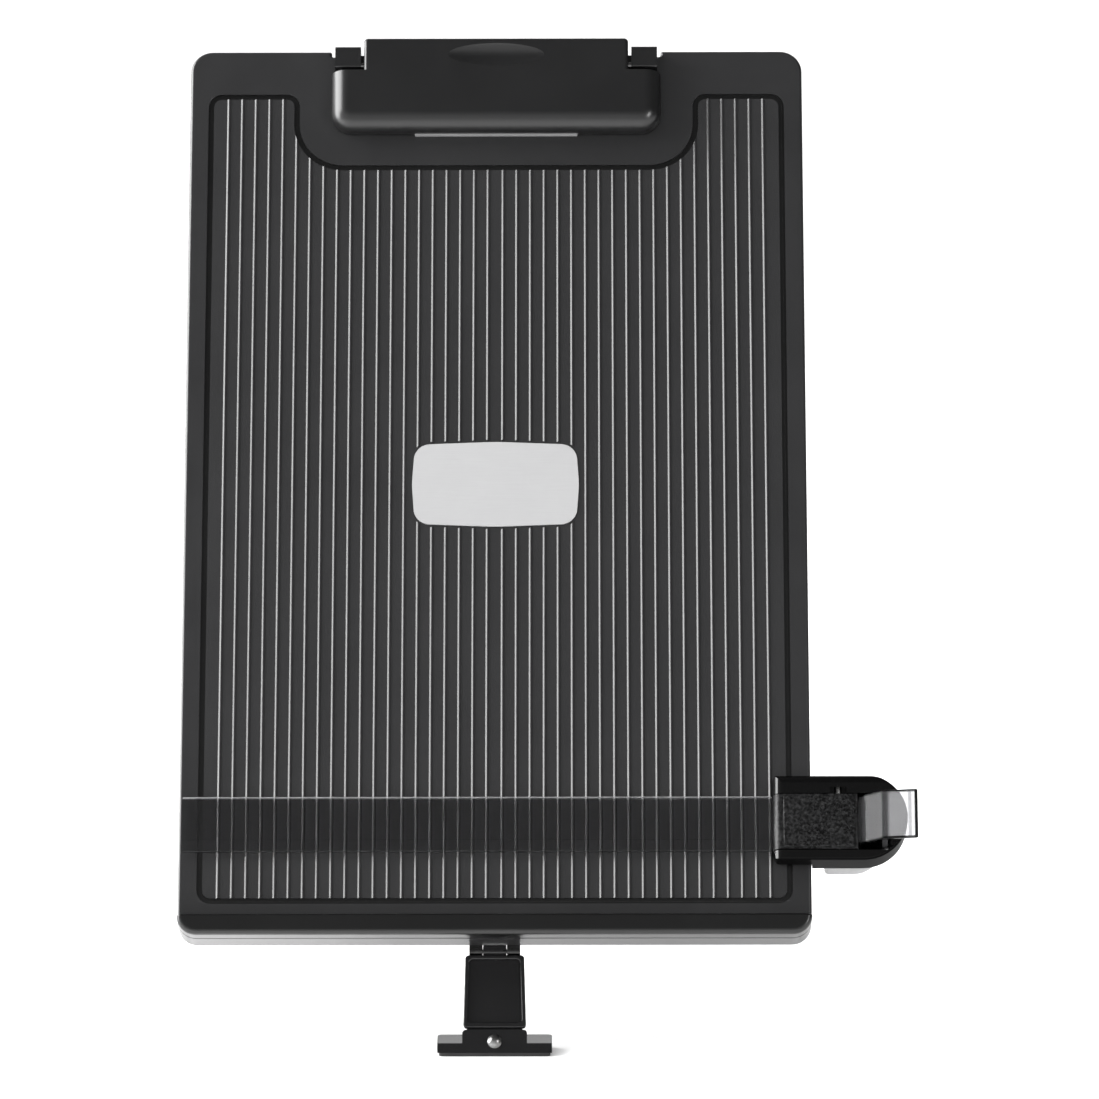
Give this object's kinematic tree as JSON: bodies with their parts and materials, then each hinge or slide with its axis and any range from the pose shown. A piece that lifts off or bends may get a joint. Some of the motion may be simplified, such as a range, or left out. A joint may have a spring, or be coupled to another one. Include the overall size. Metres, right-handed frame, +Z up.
{
  "type": "copy holder with line guide",
  "caption": "Leaning ribbed copy board with paper ledge, spring clip, line guide on an edge slider, short hinged leg with T foot, and a fold-out rear prop.",
  "frame": {"origin": "middle of the front foot's sole, on the desk", "axes": "+Z up, +Y towards the back, +X to the right seen from the front; the board leans back 28 degrees"},
  "size_m": [0.2612, 0.1915, 0.3431],
  "materials": {
    "board_black": "moulded black polystyrene, satin",
    "clip_black": "moulded black plastic, glossy",
    "slider_black": "moulded black plastic, glossy",
    "jaw_pale": "pale moulded nylon, satin",
    "rocker_black": "fine grained black plastic",
    "leg_black": "moulded black plastic, glossy",
    "prop_black": "moulded black plastic, satin",
    "rubber_black": "black rubber",
    "grip_grey": "pale grey soft strip",
    "label_grey": "pale satin plate, bare",
    "clear_blade": "smoky clear acrylic",
    "clear_tab": "clear acrylic",
    "dark_steel": "blackened steel",
    "steel": "plain steel"
  },
  "bodies": {
    "board": {"board_panel": "board_black", "paper_ledge": "board_black", "label_plate": "label_grey", "clip_base": "clip_black", "clip_pin": "steel", "clip_springs": "steel", "clip_screws": "steel", "ledge_screws": "steel", "leg_hinge_leaf": "dark_steel", "leg_hinge_pin": "dark_steel", "leg_hinge_screws": "steel", "prop_bracket": "prop_black", "prop_pin": "steel", "prop_bracket_screws": "steel"},
    "clip": {"clip_lever": "clip_black", "clip_grip_strip": "grip_grey"},
    "slider": {"slider_body": "slider_black", "slider_back_jaw": "jaw_pale", "slider_friction_pad": "rubber_black", "slider_screws": "steel", "rocker_pin": "steel", "rocker_spring": "steel"},
    "line_guide": {"rocker_block": "rocker_black", "line_guide_blade": "clear_blade", "finger_tab": "clear_tab"},
    "leg": {"front_leg": "leg_black", "foot": "leg_black", "foot_rivet": "steel", "foot_pad": "rubber_black"},
    "prop": {"rear_prop": "prop_black", "prop_feet": "rubber_black"}
  },
  "joints": [
    {"name": "clip_open", "type": "hinge", "parent": "board", "child": "clip", "pos_m": [0, 0.15346, 0.33313], "axis": [-1, 0, 0], "range_deg": [0, 20], "stiffness_Nm_per_rad": 0.2, "springref_deg": -28.65, "deforming": ["clip_springs"]},
    {"name": "guide_slide", "type": "slide", "parent": "board", "child": "slider", "axis": [0, 0.4695, 0.8829], "range_m": [-0.0184, 0.25]},
    {"name": "guide_lift", "type": "hinge", "parent": "slider", "child": "line_guide", "pos_m": [0.1215, 0.0189, 0.07793], "axis": [0, 0.4695, 0.8829], "range_deg": [0, 10], "stiffness_Nm_per_rad": 0.05, "springref_deg": -34.38, "deforming": ["rocker_spring"]},
    {"name": "front_leg_fold", "type": "hinge", "parent": "board", "child": "leg", "pos_m": [0, 0.01202, 0.03357], "axis": [1, 0, 0], "range_deg": [0, 155]},
    {"name": "rear_prop_fold", "type": "hinge", "parent": "board", "child": "prop", "pos_m": [0, 0.13465, 0.25366], "axis": [-1, 0, 0], "range_deg": [0, 38]}
  ]
}
